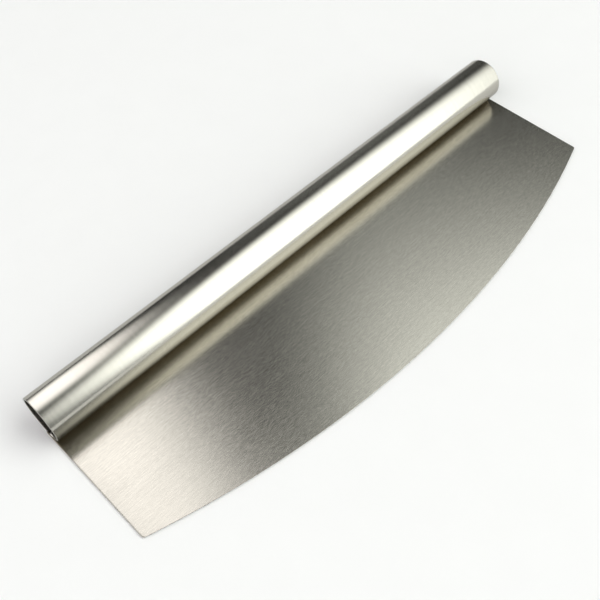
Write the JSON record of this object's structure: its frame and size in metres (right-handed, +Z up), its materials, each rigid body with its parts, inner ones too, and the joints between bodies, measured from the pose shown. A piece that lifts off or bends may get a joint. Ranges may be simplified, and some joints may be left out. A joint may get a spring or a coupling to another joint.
{
  "type": "rocking pizza knife",
  "caption": "Rocking pizza knife of brushed stainless steel: a wide flat blade with one shallow curved cutting edge under an open rolled tube handle for both hands.",
  "frame": {"origin": "on the surface the knife lies on, under the middle of its overall length and height", "axes": "+X along the handle, towards the right mouth seen from the front; +Y from the cutting edge towards the handle; +Z up, out of the blade's front face"},
  "size_m": [0.355, 0.1168, 0.0267],
  "materials": {
    "blade_steel": "brushed along the handle, semi-matt",
    "handle_steel": "fine polish lines around the tube, satin",
    "weld_metal": "ground weld, satin"
  },
  "bodies": {
    "root": {"blade": "blade_steel", "handle_tube": "handle_steel", "seam_weld": "weld_metal", "left_tack_weld": "weld_metal", "right_tack_weld": "weld_metal"}
  },
  "joints": []
}
